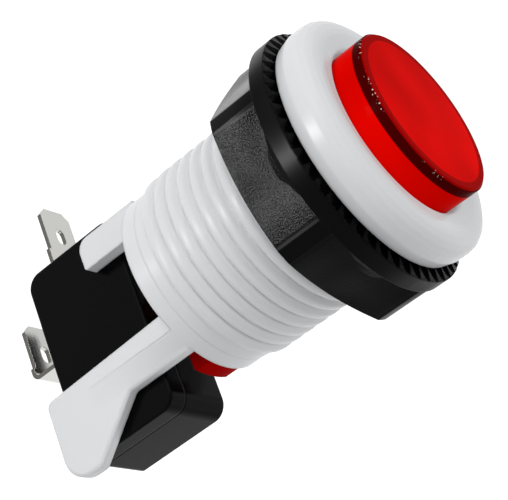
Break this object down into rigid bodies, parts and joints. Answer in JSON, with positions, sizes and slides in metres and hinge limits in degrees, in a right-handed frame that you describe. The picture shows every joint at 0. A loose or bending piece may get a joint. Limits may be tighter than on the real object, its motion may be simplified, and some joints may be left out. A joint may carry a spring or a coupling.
{
  "type": "arcade push button",
  "caption": "Round push button with a white threaded body, a red translucent cap, a black clamping nut and a microswitch snapped between legs underneath.",
  "frame": {"origin": "on the button's axis, in the plane of the bezel's underside, which is the panel's front face", "axes": "+Z out of the cap, X along the microswitch, Y across it, with the switch's cover on -Y"},
  "size_m": [0.0403, 0.0352, 0.0641],
  "materials": {
    "white_abs": "satin moulded white",
    "red_polycarbonate": "translucent red, polished",
    "spring_steel": "drawn wire",
    "black_nylon": "fine moulded grain",
    "black_phenolic": "satin moulded black",
    "tinned_brass": "dull tin plate",
    "contact_bronze": "rolled sheet",
    "contact_silver": "plain silver alloy",
    "red_polycarbonate_pin": "moulded pin"
  },
  "bodies": {
    "base": {"housing": "white_abs", "switch_case": "black_phenolic", "switch_cover": "black_phenolic", "common_terminal": "tinned_brass", "normally_open_terminal": "tinned_brass", "fixed_contact": "contact_silver", "return_spring": "spring_steel"},
    "button": {"plunger": "red_polycarbonate"},
    "pin": {"switch_actuator": "red_polycarbonate_pin"},
    "blade": {"contact_blade": "contact_bronze", "moving_contact": "contact_silver"},
    "nut": {"mounting_nut": "black_nylon"}
  },
  "joints": [
    {"name": "plunger_press", "type": "slide", "parent": "base", "child": "button", "axis": [0, 0, -1], "range_m": [0, 0.0018], "stiffness_N_per_m": 400, "springref_m": -0.0025, "deforming": ["return_spring"]},
    {"name": "actuator_press", "type": "slide", "parent": "base", "child": "pin", "axis": [0, 0, -1], "range_m": [0, 0.0018]},
    {"name": "blade_swing", "type": "hinge", "parent": "base", "child": "blade", "pos_m": [0.0082, 0, -0.0412], "axis": [0, -1, 0], "range_deg": [0, 13.6]},
    {"name": "nut_travel", "type": "slide", "parent": "base", "child": "nut", "axis": [0, 0, -1], "range_m": [0, 0.016]}
  ],
  "couplings": [
    {"joint": "actuator_press", "follows": "plunger_press", "ratio": 1},
    {"joint": "blade_swing", "follows": "plunger_press", "rad_per_m": 130.99}
  ]
}
